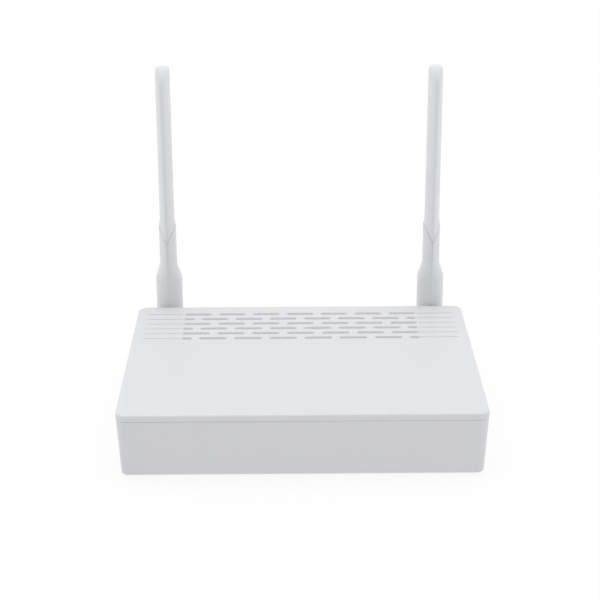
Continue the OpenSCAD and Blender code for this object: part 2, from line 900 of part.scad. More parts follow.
// Coaxial feed and brass dipole tubes inside the antenna
module antenna_element(side) {
    color("#c9a24a") at_hinge(side) {
        translate([0, 0, sleeve_bottom + 3.5]) cylinder(r = 0.9, h = 70);
        translate([0, 0, 50]) cylinder(r = element_r, h = 28);
        translate([0, 0, 84]) cylinder(r = element_r, h = 28);
        translate([0, 0, 77.9]) cylinder(r = 0.9, h = 6.2);
    }
}

// Turning base: flange, hollow shaft through the rear wall, and two hinge ears
module antenna_swivel(side) {
    color(case_white) at_hinge(side) difference() {
        union() {
            translate([0, flange_back, 0]) rod_y(flange_r, flange_front - flange_back);
            translate([0, wall_outer - wall_t - 2.8, 0]) rod_y(shaft_r,
                flange_back - wall_outer + wall_t + 2.8 + eps);
            for (s = [-1, 1]) translate([s * (ear_x[0] + ear_x[1]) / 2, 0, 0]) {
                rod_x(ear_r, ear_x[1] - ear_x[0]);
                translate([-(ear_x[1] - ear_x[0]) / 2, flange_front - eps, -4.2])
                    cube([ear_x[1] - ear_x[0], -flange_front, 8.4]);
            }
        }
        rod_x(pin_r, 20);
        translate([0, wall_outer - wall_t - 4, 0]) rod_y(lead_bore_r, 12);
        translate([0, wall_outer - wall_t - 1.5, 0]) difference() {
            rod_y(shaft_r + 1, 1.2);
            translate([0, -1, 0]) rod_y(shaft_r - 0.8, 4);
        }
    }
}

// Open spring clip in the shaft's groove, inside the case
module antenna_clip(side) {
    color(metal) at_hinge(side) translate([0, wall_outer - wall_t - 1.4, 0]) difference() {
        rod_y(5.8, 1);
        translate([0, -1, 0]) rod_y(shaft_r - 0.78, 3);
        translate([-2.4, -1, -8]) cube([4.8, 3, 8]);
    }
}

module antenna_pin(side) {
    color(metal) at_hinge(side) rod_x(pin_r, 2 * ear_x[1] - 0.4);
}

// ---------- Antenna leads inside the case ----------

lead_r = 0.9;
lead_route = [
    [40, 46, 9.7], [43, 46, 10.6], [45, 46.1, 12.4], [46.5, 46.2, 14.6], [48.4, 46.4, 16.8],
    [51, 46.6, 18], [54, 46.8, 18.5], [58, 47.2, 18.6], [62, 48.2, 18.4], [65.4, 49.8, 17.8],
    [68.4, 52, 17], [70.6, 54.6, 16.4], [71.6, 57.4, 16.1], [71.8, 60, 16], [71.8, 64, 16],
    [71.8, 68, 16], [71.8, 71.6, 16]
];

function unit(v) = v / norm(v);
function route_dir(p, i) = unit(p[min(i + 1, len(p) - 1)] - p[max(i - 1, 0)]);

// A tube of one radius along a route
module tube(p, r, sides = 8) {
    rings = [for (i = [0:len(p) - 1])
        let (d = route_dir(p, i), u = unit(cross(d, [0, 0, 1])), v = cross(u, d))
        for (k = [0:sides - 1]) p[i] + r * (cos(k * 360 / sides) * u + sin(k * 360 / sides) * v)];
    n = len(p);
    walls = [for (i = [0:n - 2], k = [0:sides - 1]) let (k2 = (k + 1) % sides)
        [i * sides + k, i * sides + k2, (i + 1) * sides + k2, (i + 1) * sides + k]];
    start = [for (k = [0:sides - 1]) sides - 1 - k];
    end = [for (k = [0:sides - 1]) (n - 1) * sides + k];
    polyhedron(rings, concat(walls, [start, end]), convexity = 6);
}

module antenna_lead(side) {
    color("#2b2b2d") in_case() mirror([side < 0 ? 1 : 0, 0, 0]) tube(lead_route, lead_r);
}

top_cover();
bottom_case();
light_guide();
indicator_leds();
rubber_feet();
case_screws();
rating_label();
main_board();
board_screws();
processor();
processor_pad();
heat_sink();
memory_chip();
flash_chip();
wifi_chip();
wifi_shield();
line_chip();
optical_receptacle();
optical_subassembly();
optics_shield();
for (i = [0:3]) lan_jack(i);
lan_contacts();
lan_transformers();
tel_jack();
tel_contacts();
dc_jack();
dc_jack_pin();
power_switch();
power_button();
usb_shell();
usb_tongue();
side_switches();
wlan_button();
wps_button();
reset_switch();
reset_plunger();
dust_plug();
capacitors();
inductors();
chip_components();
crystals();
coax_sockets();
antenna_lead(-1);  // antenna_left_lead
antenna_lead(1);  // antenna_right_lead
antenna_swivel(-1);  // antenna_left_swivel
antenna_clip(-1);  // antenna_left_clip
antenna_pin(-1);  // antenna_left_pin
antenna_sleeve(-1);  // antenna_left_sleeve
antenna_radome(-1);  // antenna_left_radome
antenna_element(-1);  // antenna_left_element
antenna_swivel(1);  // antenna_right_swivel
antenna_clip(1);  // antenna_right_clip
antenna_pin(1);  // antenna_right_pin
antenna_sleeve(1);  // antenna_right_sleeve
antenna_radome(1);  // antenna_right_radome
antenna_element(1);  // antenna_right_element
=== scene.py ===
"""Looks of the desktop optical network terminal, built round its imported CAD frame.

Shapes are written in millimetres in case coordinates: X to the right, Y to the rear, Z up,
with z = 0 at the underside of the floor and the origin at the middle of the case.
"""

import json
import math

import bmesh
import bpy
from mathutils import Matrix, Vector
from mathutils.geometry import delaunay_2d_cdt


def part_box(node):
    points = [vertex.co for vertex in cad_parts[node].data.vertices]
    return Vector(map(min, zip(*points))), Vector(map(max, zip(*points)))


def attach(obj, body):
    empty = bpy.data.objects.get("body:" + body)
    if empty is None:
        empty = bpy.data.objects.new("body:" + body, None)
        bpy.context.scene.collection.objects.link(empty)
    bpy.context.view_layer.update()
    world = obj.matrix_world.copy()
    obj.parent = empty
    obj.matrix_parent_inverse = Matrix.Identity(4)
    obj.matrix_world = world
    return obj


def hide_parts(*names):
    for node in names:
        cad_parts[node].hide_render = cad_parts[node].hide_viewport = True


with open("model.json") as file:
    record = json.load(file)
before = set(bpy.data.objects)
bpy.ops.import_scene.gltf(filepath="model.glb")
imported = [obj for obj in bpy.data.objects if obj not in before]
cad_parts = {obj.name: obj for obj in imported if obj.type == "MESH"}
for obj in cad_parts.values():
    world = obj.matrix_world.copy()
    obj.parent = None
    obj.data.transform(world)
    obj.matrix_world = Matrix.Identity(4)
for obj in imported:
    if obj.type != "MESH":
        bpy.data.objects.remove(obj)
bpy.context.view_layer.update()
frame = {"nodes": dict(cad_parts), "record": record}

MM = 0.001
LID_LO, LID_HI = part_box("top_cover")
FLOOR_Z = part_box("bottom_case")[0].z
MID_X = (LID_LO.x + LID_HI.x) / 2
MID_Y = (LID_LO.y + LID_HI.y) / 2
HALF_X = (LID_HI.x - LID_LO.x) / 2 / MM
HALF_Y = (LID_HI.y - LID_LO.y) / 2 / MM
CASE_H = (LID_HI.z - FLOOR_Z) / MM

# Case. DRAFT is how far the walls lean in for each millimetre of height
CORNER_R = 5.0
DRAFT = 0.0576
FLOOR_EDGE_R = 1.4
LID_EDGE_R = 0.9
LID_BAND_H = 3.1
LID_T = 2.2
LID_SETBACK = 0.2
WALL_T = 2.2
WALL_IN = LID_SETBACK + WALL_T
INNER_R = 2.4
FLOOR_T = 2.0
WALL_TOP = 28.4
LID_UNDER = CASE_H - LID_T

# Line between lid and walls: the band reaches down over the gap and leaves a fine line open
BAND_DROP = 0.1
BAND_LOW = CASE_H - LID_BAND_H - BAND_DROP
VISIBLE_GAP = 0.1
LEDGE_GAP = 0.02

# Rear face of the case, top of the main board and the four bosses of the case screws
REAR_Y = HALF_Y - LID_SETBACK
BOARD_TOP = 7.6
BOSSES = ((-80, -60), (80, -60), (-80.5, 50), (80.5, 50))
BOSS_R = 3.2
BOSS_SPLIT_Z = 10.0

# Edges of the case, each as steps of (inset, rise)
BAND_EDGE = ((0.22, 0.0), (0.07, 0.06), (0.0, 0.22))
RIM_EDGE = ((0.2, -0.2), (0.25, -0.05), (0.36, 0.0), (0.44, 0.0))
FLOOR_FILLET = ((0.0, 1.0), (0.3, 0.3), (1.0, 0.0))

# Size of the edge of a hole in a wall and of a recess, and the share of it at which it bends
HOLE_EDGE = 0.22
RECESS_EDGE = 0.15
EDGE_BEND = 0.3

# Lid: steps of its corners, and how far its plate, its lip and its bosses reach
LID_STEPS = 12
PLATE_IN = 3.2
LIP_IN = (2.9, 4.1)
LIP_H = 4.0
LID_BORE_R = 1.3
LID_OVERLAP = 0.2

# Rear wall. A socket is its middle, width and height; a round hole is its middle and radius
LAN_COUNT = 4
LAN_FIRST_X = -29.5
LAN_PITCH = 17
LAN_MOUTH = (15.8, 13.2)
TEL_SOCKET = (38, 13.2, 12.2)
OPTICAL_SOCKET = (55, 12.6, 10)
DC_SOCKET = (-48.4, 9.4, 11.4)
SOCKET_GAP = 0.2
POWER_HOLE = (-58.4, 13.1, 3.9)
RESET_HOLE = (-41, 12, 0.9)
SHAFT_HOLE_R = 4.08

# Right wall
USB_Y = 8
USB_HALF_W = 6.8
USB_H = 6
KEY_Y = (-12, -26)
KEY_HALF_W = 4.05
KEY_Z = (9.5, 13.7)
KEY_CORNER_R = 1

# Floor
FEET = ((-72, -57), (72, -57), (-72, 53), (72, 53))
FOOT_HOLE_R = 5.1
FOOT_RECESS = 0.6
FLOOR_VENT = (8, 2)
FLOOR_VENT_PITCH = (11, 9)
FLOOR_VENT_FIRST_Y = 10
FLOOR_VENT_ROWS = 5
FLOOR_VENT_COLUMNS = 7
KEYHOLE_X = 52
KEYHOLE_Y = 18
KEYHOLE_R = 3.6
KEYHOLE_SLOT_R = 1.8
KEYHOLE_SLOT_LEN = 8
LABEL_HALF_W = 26
LABEL_Y = (-58, -36)
LABEL_CORNER_R = 1
LABEL_RECESS = 0.2
SCREW_HEAD_R = 2.8
SCREW_RECESS = 1.85
FLOOR_BORE_R = 1.55
FLOOR_OVERLAP = 0.05
BOARD_POSTS = ((-71, -44), (71, -44), (-62, 38), (62, 38))
POST_R = 2.8
POST_BORE_R = 1.1
POST_TOP = 6
POST_BORE_LOW = 2.5

# Lid pattern. An edge is steps of (growth, depth)
VENT_FIRST_Y = 58.7
VENT_PITCH_Y = 6.76
VENT_PITCH_X = 18.35
VENT_LEN = 13.9
VENT_W = 2.0
VENT_EDGE = (
    (0.5, 0.0), (0.46, 0.02), (0.42, 0.06), (0.36, 0.14), (0.1, 0.6), (-0.3, 1.1), (-0.32, 1.3),
)
VENT_ROWS = 6
VENT_COLUMNS = 7
VENT_HALF_SPAN = 62.0
GROOVE_START = 62.75
GROOVE_END = 82.5
GROOVE_W = 0.55
GROOVE_EDGE = ((0.1, 0.0), (0.03, 0.03), (0.0, 0.1), (0.0, 0.36), (-0.05, 0.45), (-0.14, 0.5))
LED_COUNT = 12
LED_PITCH = 9.5
LED_Y = -38.5
LED_WINDOW = (2.94, 1.04)
LED_EDGE = ((0.03, 0.0), (0.0, 0.03))

# Antennas. X and Y are measured from the antenna's axis, Z from the case's underside
HINGE_Z = 16.0
ANTENNA_X = 71.8
ANTENNA_Y = HALF_Y + 9.0
TIP_Z = 163.6
TIP_ROUND = 10.0
TIP_EDGE = 1.9
TIP_EDGE_SHARE = 0.7
SLEEVE_R = 7.2
SLEEVE_BOTTOM = 24.0
SLEEVE_EDGE = ((0.5, 0.0), (0.15, 0.15), (0.0, 0.5))
SLEEVE_RING_Z = (30, 36, 42, 45.6, 46.4)
SHOULDER_Z = (46.6, 54.9)
SHOULDER_STEPS = 9
SHOULDER_EASE = 0.3
NECK_START_Z = 56.2
NECK_SHARES = (0.35, 0.7, 0.99, 1.0)
NECK_HALF = (4.65, 7.6)
NECK_TOP = (4.6, 9.9)
NECK_END_R = 1.9
PADDLE_ROOT = (3.95, 9.4)
PADDLE_TIP = (3.8, 11.0)
PADDLE_END_R = (1.05, 1.7)
PADDLE_FOOT_RISES = (-0.04, 0.1, 0.7, 1.6, 2.8, 4.2, 6.0)
PADDLE_SHARES = (0.15, 0.3, 0.45, 0.6, 0.75, 0.88, 1.0)
FLARE_SHARE = 0.86
FLARE_H = 5.0
SEAM_APEX_Z = 68.0
SEAM_SIDE_Z = 76.8
SEAM_MIDDLE_Z = SEAM_APEX_Z + 4
NECK_END_Z = SEAM_SIDE_Z + 1
SEAM_CHAMFER = 0.985
PADDLE_SEAM_GAP = 0.05
SLEEVE_SEAM_GAP = 0.02
LENS_STEPS = 12
TONGUE_HALF = 3.4
TONGUE_R = 6.3
TONGUE_EDGE = 0.4
TONGUE_TOP = SLEEVE_BOTTOM + 0.8
TONGUE_MIDDLE_Z = HINGE_Z + 2


def row_point(point):
    """A point in case millimetres, as a vector in the row frame."""
    x, y, z = point
    return Vector((MID_X + x * MM, MID_Y + y * MM, FLOOR_Z + z * MM))


def lerp(a, b, k):
    return a + (b - a) * k


# ---------- Outlines ----------


def rounded(x0, x1, y0, y1, r, steps=8):
    """Counter-clockwise outline of a rectangle with round corners, from its front right corner."""
    corners = ((x1 - r, y0 + r, -90), (x1 - r, y1 - r, 0), (x0 + r, y1 - r, 90), (x0 + r, y0 + r, 180))
    ring = []
    for cx, cy, start in corners:
        for i in range(steps + 1):
            turn = math.radians(start + 90 * i / steps)
            ring.append((cx + r * math.cos(turn), cy + r * math.sin(turn)))
    return ring


def case_outline(side_in, rear_in, r=None, steps=8):
    """Case outline with its sides and front drawn in by side_in and its rear by rear_in."""
    radius = max(CORNER_R - side_in, 1.0) if r is None else r
    return rounded(-HALF_X + side_in, HALF_X - side_in, -HALF_Y + side_in, HALF_Y - rear_in, radius, steps)


def slot_ring(cx, cy, length, width, grow=0.0, steps=7):
    """Outline of a straight slot with round ends that runs along X."""
    half = (length - width) / 2
    r = width / 2 + grow
    ring = []
    for side, start in ((1, -90), (-1, 90)):
        for i in range(steps + 1):
            turn = math.radians(start + 180 * i / steps)
            ring.append((cx + side * half + r * math.cos(turn), cy + r * math.sin(turn)))
    return ring


def circle_ring(cx, cy, r, steps=32):
    return [
        (cx + r * math.cos(math.tau * i / steps), cy + r * math.sin(math.tau * i / steps))
        for i in range(steps)
    ]


def inside(ring, point):
    """Whether a flat point lies within a closed ring."""
    odd = False
    for (x0, y0), (x1, y1) in zip(ring, ring[1:] + ring[:1]):
        if (y0 > point.y) != (y1 > point.y):
            odd ^= point.x < x0 + (point.y - y0) / (y1 - y0) * (x1 - x0)
    return odd


# ---------- Meshes ----------


class Shell:
    """Gathers strips and flat panels of points in case millimetres into one mesh."""

    def __init__(self):
        self.points = []
        self.faces = []

    def face(self, points):
        start = len(self.points)
        self.points.extend(points)
        self.faces.append(range(start, start + len(points)))

    def strip(self, low, high, skip=()):
        """Quads between two closed rings of the same number of points."""
        count = len(low)
        for i in range(count):
            if i in skip:
                continue
            j = (i + 1) % count
            self.face([low[i], low[j], high[j], high[i]])

    def stack(self, rings, skip=()):
        for low, high in zip(rings, rings[1:]):
            self.strip(low, high, skip)

    def panel(self, outer, holes, place):
        """Flat face with holes. place turns a flat point into a case point."""
        flat = []
        edges = []
        owner = []
        rings = [outer] + list(holes)
        for number, ring in enumerate(rings):
            start = len(flat)
            flat.extend(Vector(p) for p in ring)
            owner.extend([number] * len(ring))
            edges.extend((start + i, start + (i + 1) % len(ring)) for i in range(len(ring)))
        points, _, faces, origins = delaunay_2d_cdt(flat, edges, [], 1, 1e-6)[:4]
        for corners in faces:
            found = {owner[origins[i][0]] for i in corners}
            middle = sum((points[i] for i in corners), Vector((0, 0))) / len(corners)
            number = found.pop()
            # a triangle with all its corners on one hole's ring may lie in that hole
            if not found and number and inside(rings[number], middle):
                continue
            self.face([place(points[i].x, points[i].y) for i in corners])

    def cap(self, ring):
        self.face(list(ring))

    def build(self, name, merge=0.0008):
        """The finished piece. Points closer than merge millimetres become one."""
        mesh = bpy.data.meshes.new(name)
        mesh.from_pydata([row_point(p) for p in self.points], [], [list(f) for f in self.faces])
        bm = bmesh.new()
        bm.from_mesh(mesh)
        bmesh.ops.remove_doubles(bm, verts=bm.verts, dist=merge * MM)
        bmesh.ops.dissolve_degenerate(bm, edges=bm.edges, dist=merge * MM)
        bmesh.ops.recalc_face_normals(bm, faces=bm.faces)
        bm.to_mesh(mesh)
        bm.free()
        piece = bpy.data.objects.new(name, mesh)
        bpy.context.scene.collection.objects.link(piece)
        return piece


def at_z(ring, z):
    return [(x, y, z) for x, y in ring]


def smooth(piece, limit=40):
    """Smooth shading that keeps edges sharper than limit degrees hard."""
    piece.data.shade_smooth()
    piece.data.set_sharp_from_angle(angle=math.radians(limit))
    weighted = piece.modifiers.new("weighted", "WEIGHTED_NORMAL")
    weighted.keep_sharp = True
    return piece


# ---------- Lid ----------


def vent_slots():
    """Middle and length of every vent slot in the lid."""
    slots = []
    middle = (VENT_COLUMNS - 1) / 2
    end_len = VENT_HALF_SPAN - middle * VENT_PITCH_X - VENT_W
    for row in range(VENT_ROWS):
        y = VENT_FIRST_Y - row * VENT_PITCH_Y
        shifted = row % 2
        for i in range(VENT_COLUMNS - shifted):
            slots.append(((i - middle + shifted / 2) * VENT_PITCH_X, y, VENT_LEN))
        if shifted:
            slots.extend((s * (VENT_HALF_SPAN - end_len / 2), y, end_len) for s in (-1, 1))
    return slots


def lid_through(shell, make_ring, edge):
    """A hole through the lid's plate, its upper edge given as (growth, depth) steps."""
    low = at_z(make_ring(0.0), LID_UNDER)
    shell.stack([at_z(make_ring(grow), CASE_H - depth) for grow, depth in edge] + [low])
    return make_ring(edge[0][0]), make_ring(0.0)


def lid_groove(shell, cx, cy):
    """A shallow groove with a round upper edge; returns its ring in the top face."""
    length = GROOVE_END - GROOVE_START
    outlines = [slot_ring(cx, cy, length, GROOVE_W, grow) for grow, _ in GROOVE_EDGE]
    rings = [at_z(outline, CASE_H - depth) for outline, (_, depth) in zip(outlines, GROOVE_EDGE)]
    shell.stack(rings)
    shell.cap(rings[-1])
    return outlines[0]


def lid_outline(inset):
    return case_outline(inset, inset, steps=LID_STEPS)


def lid_outside(shell):
    """Band, rounded upper edge and rim of the lid. Returns the outline of its flat top."""
    steps = 8
    profile = [(PLATE_IN, BAND_LOW)]
    profile += [(inset, BAND_LOW + rise) for inset, rise in BAND_EDGE]
    for i in range(steps + 1):
        turn = math.radians(90 * i / steps)
        profile.append((LID_EDGE_R * (1 - math.cos(turn)), CASE_H - LID_EDGE_R * (1 - math.sin(turn))))
    rings = [at_z(lid_outline(inset), z) for inset, z in profile]
    shell.stack(rings)
    shell.strip(at_z(lid_outline(PLATE_IN), LID_UNDER), rings[0])
    return lid_outline(LID_EDGE_R)


def ring_wall(shell, outer, inner, z0, z1):
    """A closed upright ring between two outlines."""
    rings = [at_z(inner, z0), at_z(outer, z0), at_z(outer, z1), at_z(inner, z1)]
    shell.stack(rings + rings[:1])


def lid_walls(shell):
    """The lip inside the case's walls and the four screw bosses, which run up into the plate."""
    top = LID_UNDER + LID_OVERLAP
    lip_out, lip_in = (case_outline(inset, inset) for inset in LIP_IN)
    ring_wall(shell, lip_out, lip_in, LID_UNDER - LIP_H, top)
    for x, y in BOSSES:
        ring_wall(shell, circle_ring(x, y, BOSS_R), circle_ring(x, y, LID_BORE_R), BOSS_SPLIT_Z, top)


def build_lid():
    shell = Shell()
    top = lid_outside(shell)
    top_holes = []
    low_holes = []
    for cx, cy, length in vent_slots():
        high, low = lid_through(shell, lambda g: slot_ring(cx, cy, length, VENT_W, g), VENT_EDGE)
        top_holes.append(high)
        low_holes.append(low)
    for i in range(LED_COUNT):
        cx = (i - (LED_COUNT - 1) / 2) * LED_PITCH
        high, low = lid_through(shell, lambda g: slot_ring(cx, LED_Y, *LED_WINDOW, g), LED_EDGE)
        top_holes.append(high)
        low_holes.append(low)
    for row in range(VENT_ROWS):
        for side in (-1, 1):
            cx = side * (GROOVE_END + GROOVE_START) / 2
            top_holes.append(lid_groove(shell, cx, VENT_FIRST_Y - row * VENT_PITCH_Y))
    shell.panel(top, top_holes, lambda x, y: (x, y, CASE_H))
    shell.panel(lid_outline(PLATE_IN), low_holes, lambda x, y: (x, y, LID_UNDER))
    lid_walls(shell)
    return smooth(shell.build("lid_moulding"))


# ---------- Lower case ----------


def wall_in(z):
    """How far in the drafted side and front walls stand at height z. The rear wall is upright."""
    return LID_SETBACK + (WALL_TOP - z) * DRAFT


def outer_outline(inset):
    """Outline of the walls' outer foot, drawn in by inset."""
    low_in = wall_in(FLOOR_EDGE_R)
    return case_outline(low_in + inset, LID_SETBACK + inset, CORNER_R - low_in - inset)


def inner_outline(inset):
    """Outline of the walls' inner foot, drawn in by inset."""
    low_in = wall_in(FLOOR_T + FLOOR_FILLET[0][1]) + WALL_T
    return case_outline(low_in + inset, WALL_IN + inset, INNER_R - inset)


def outer_profile():
    """Rings of the round edge from the underside to the foot of the walls."""
    steps = 6
    rings = []
    for i in range(steps + 1):
        turn = math.radians(90 * i / steps)
        inset = FLOOR_EDGE_R * (1 - math.sin(turn))
        rings.append(at_z(outer_outline(inset), FLOOR_EDGE_R * (1 - math.cos(turn))))
    return rings


def rim_profile():
    """Rings from the wall's upper edge over the rim to the top of the inside."""
    top = BAND_LOW - VISIBLE_GAP
    ledge = BAND_LOW - LEDGE_GAP
    last_in = RIM_EDGE[-1][0]
    rings = [at_z(case_outline(inset, inset), top + rise) for inset, rise in RIM_EDGE]
    rings.append(at_z(case_outline(last_in, last_in), ledge))
    rings.append(at_z(case_outline(WALL_IN, WALL_IN, INNER_R), ledge))
    return rings


def inner_profile():
    """Rings of the case's inside from the rim down to the floor."""
    rings = [at_z(case_outline(WALL_IN, WALL_IN, INNER_R), WALL_TOP)]
    rings += [at_z(inner_outline(inset), FLOOR_T + rise) for inset, rise in FLOOR_FILLET]
    return rings


def rect_ring(x0, x1, z0, z1, grow, r=0.3):
    return rounded(x0 - grow, x1 + grow, z0 - grow, z1 + grow, r + max(grow, 0), 3)


def socket_hole(cx, width, height):
    """Hole for a socket that stands on the board, as a function of its outline's growth."""
    x0, x1 = cx - width / 2 - SOCKET_GAP, cx + width / 2 + SOCKET_GAP
    z0, z1 = BOARD_TOP - SOCKET_GAP, BOARD_TOP + height + SOCKET_GAP
    return lambda grow: rect_ring(x0, x1, z0, z1, grow)


def round_hole(cx, cz, r):
    return lambda grow: circle_ring(cx, cz, r + grow)


def side_key_hole(cy):
    """Hole for a side key, in Y and Z."""
    y0, y1 = cy - KEY_HALF_W, cy + KEY_HALF_W
    z0, z1 = KEY_Z
    return lambda grow: rounded(y0 - grow, y1 + grow, z0 - grow, z1 + grow, KEY_CORNER_R + grow, 6)


def rear_holes():
    """Every hole in the rear wall, in X and Z, as a function of its outline's growth."""
    lan = [(LAN_FIRST_X + LAN_PITCH * i, *LAN_MOUTH) for i in range(LAN_COUNT)]
    sockets = lan + [TEL_SOCKET, OPTICAL_SOCKET, DC_SOCKET]
    shafts = [(side * ANTENNA_X, HINGE_Z, SHAFT_HOLE_R) for side in (-1, 1)]
    rounds = [POWER_HOLE, RESET_HOLE] + shafts
    return [socket_hole(*entry) for entry in sockets] + [round_hole(*entry) for entry in rounds]


def side_holes():
    """Every hole in the right wall, in Y and Z, as a function of its outline's growth."""
    y0, y1 = USB_Y - USB_HALF_W, USB_Y + USB_HALF_W
    z0, z1 = BOARD_TOP - SOCKET_GAP, BOARD_TOP + USB_H
    return [lambda grow: rect_ring(y0, y1, z0, z1, grow)] + [side_key_hole(cy) for cy in KEY_Y]


def pierced_wall(shell, outer, inner, holes, place):
    """Both faces of a flat wall and the edges of its holes. place(u, v, depth) gives a point."""
    bend = HOLE_EDGE * EDGE_BEND
    bends = ((HOLE_EDGE, 0.0), (bend, bend), (0.0, HOLE_EDGE), (0.0, WALL_T))
    for hole in holes:
        shell.stack([[place(u, v, depth) for u, v in hole(grow)] for grow, depth in bends])
    shell.panel(outer, [hole(HOLE_EDGE) for hole in holes], lambda u, v: place(u, v, 0.0))
    shell.panel(inner, [hole(0.0) for hole in holes], lambda u, v: place(u, v, WALL_T))


def keyhole_ring(side):
    """Round hole with a slot towards the front, for a wall screw."""
    cx = side * KEYHOLE_X
    slot_y = KEYHOLE_Y - KEYHOLE_SLOT_LEN
    meet = math.degrees(math.asin(KEYHOLE_SLOT_R / KEYHOLE_R))
    round_steps, slot_steps = 24, 8
    ring = []
    for i in range(round_steps + 1):
        turn = math.radians(-90 + meet + (360 - 2 * meet) * i / round_steps)
        ring.append((cx + KEYHOLE_R * math.cos(turn), KEYHOLE_Y + KEYHOLE_R * math.sin(turn)))
    for i in range(slot_steps + 1):
        turn = math.radians(180 + 180 * i / slot_steps)
        ring.append((cx + KEYHOLE_SLOT_R * math.cos(turn), slot_y + KEYHOLE_SLOT_R * math.sin(turn)))
    return ring


def floor_recess(shell, ring_at, depth):
    """A blind recess in the underside; ring_at(grow) gives its outline. Returns its mouth."""
    bend = RECESS_EDGE * EDGE_BEND
    steps = ((RECESS_EDGE, 0.0), (bend, bend), (0.0, RECESS_EDGE), (0.0, depth))
    rings = [at_z(ring_at(grow), z) for grow, z in steps]
    shell.stack(rings)
    shell.cap(rings[-1])
    return ring_at(RECESS_EDGE)


def floor_recesses(shell):
    """The recesses of the feet, the label and the case screws. Returns their mouths."""
    mouths = []
    for x, y in FEET:
        mouths.append(floor_recess(shell, round_hole(x, y, FOOT_HOLE_R), FOOT_RECESS))
    half, (y0, y1), r = LABEL_HALF_W, LABEL_Y, LABEL_CORNER_R
    mouths.append(floor_recess(
        shell, lambda g: rounded(-half - g, half + g, y0 - g, y1 + g, r + g, 4), LABEL_RECESS,
    ))
    for x, y in BOSSES:
        mouths.append(floor_recess(shell, round_hole(x, y, SCREW_HEAD_R), SCREW_RECESS))
    return mouths


def floor_through():
    """Outlines of the floor's vents and keyholes."""
    rings = []
    for row in range(FLOOR_VENT_ROWS):
        cy = FLOOR_VENT_FIRST_Y - row * FLOOR_VENT_PITCH[1]
        for i in range(FLOOR_VENT_COLUMNS):
            cx = (i - (FLOOR_VENT_COLUMNS - 1) / 2) * FLOOR_VENT_PITCH[0]
            rings.append(slot_ring(cx, cy, *FLOOR_VENT))
    return rings + [keyhole_ring(-1), keyhole_ring(1)]


def board_posts(shell):
    """The hollow posts under the board. Returns their outlines on the floor."""
    feet = []
    for x, y in BOARD_POSTS:
        bore = circle_ring(x, y, POST_BORE_R)
        post = circle_ring(x, y, POST_R)
        shell.stack([
            at_z(post, FLOOR_T), at_z(post, POST_TOP), at_z(bore, POST_TOP), at_z(bore, POST_BORE_LOW),
        ])
        shell.cap(at_z(bore, POST_BORE_LOW))
        feet.append(post)
    return feet


def floor_panels(shell):
    """Both faces of the floor, with everything that is let into it or stands on it."""
    through = floor_through()
    for ring in through:
        shell.strip(at_z(ring, 0), at_z(ring, FLOOR_T))
    under = through + floor_recesses(shell)
    above = through + board_posts(shell)
    for x, y in BOSSES:
        outer, bore = circle_ring(x, y, BOSS_R), circle_ring(x, y, FLOOR_BORE_R)
        ring_wall(shell, outer, bore, FLOOR_T - FLOOR_OVERLAP, BOSS_SPLIT_Z)
    shell.panel(outer_outline(FLOOR_EDGE_R), under, lambda x, y: (x, y, 0.0))
    shell.panel(inner_outline(FLOOR_FILLET[-1][0]), above, lambda x, y: (x, y, FLOOR_T))


def flat_quad(lower, upper, i, u, v):
    """The flat face between two rings on their side i, in the axes u and v."""
    corners = (lower[i], lower[i + 1], upper[i + 1], upper[i])
    return [(p[u], p[v]) for p in corners]


def build_bottom():
    shell = Shell()
    corner_steps = 8
    right, rear = corner_steps, 2 * corner_steps + 1  # the sides of a ring between its corners
    low = outer_profile()
    rim = rim_profile()
    inner = inner_profile()
    shell.stack(low)
    shell.strip(low[-1], rim[0], (right, rear))
    shell.stack(rim + inner[:1])
    shell.strip(inner[0], inner[1], (right, rear))
    shell.stack(inner[1:])
    pierced_wall(
        shell, flat_quad(low[-1], rim[0], rear, 0, 2), flat_quad(inner[1], inner[0], rear, 0, 2),
        rear_holes(), lambda u, v, depth: (u, REAR_Y - depth, v),
    )
    pierced_wall(
        shell, flat_quad(low[-1], rim[0], right, 1, 2), flat_quad(inner[1], inner[0], right, 1, 2),
        side_holes(), lambda u, v, depth: (HALF_X - wall_in(v) - depth, u, v),
    )
    floor_panels(shell)
    return smooth(shell.build("lower_case_moulding"))


# ---------- Antennas ----------


def lens_ring(half, end_r, n=LENS_STEPS):
    """Section of the blade: two long side arcs that run into two small round ends."""
    end_y = half[1] - end_r
    side_r = (half[0] ** 2 - end_r ** 2 + end_y ** 2) / (2 * (half[0] - end_r))
    turn = math.atan2(end_y, side_r - half[0])
    ring = []
    for s in (1, -1):
        for i in range(-n, n + 1):
            t = turn * i / n
            ring.append((s * (side_r * math.cos(t) - side_r + half[0]), s * side_r * math.sin(t)))
        for i in range(1, n):
            t = turn + (math.pi - 2 * turn) * i / n
            ring.append((s * end_r * math.cos(t), s * (end_y + end_r * math.sin(t))))
    return ring


def seam_z(x):
    """Height of the V-shaped seam between neck and paddle."""
    return SEAM_APEX_Z + (SEAM_SIDE_Z - SEAM_APEX_Z) * abs(x) / NECK_HALF[0]


def paddle_section(z):
    """Section of the paddle at height z, which widens from its root to its tip."""
    k = (z - SEAM_APEX_Z) / (TIP_Z - SEAM_APEX_Z)
    half = (lerp(PADDLE_ROOT[0], PADDLE_TIP[0], k), lerp(PADDLE_ROOT[1], PADDLE_TIP[1], k))
    return lens_ring(half, lerp(*PADDLE_END_R, k))


def neck_section(z):
    """Section of the sleeve's neck at height z, above the shoulder."""
    k = (z - SHOULDER_Z[1]) / (NECK_END_Z - SHOULDER_Z[1])
    half = (lerp(NECK_HALF[0], NECK_TOP[0], k), lerp(NECK_HALF[1], NECK_TOP[1], k))
    return lens_ring(half, NECK_END_R)


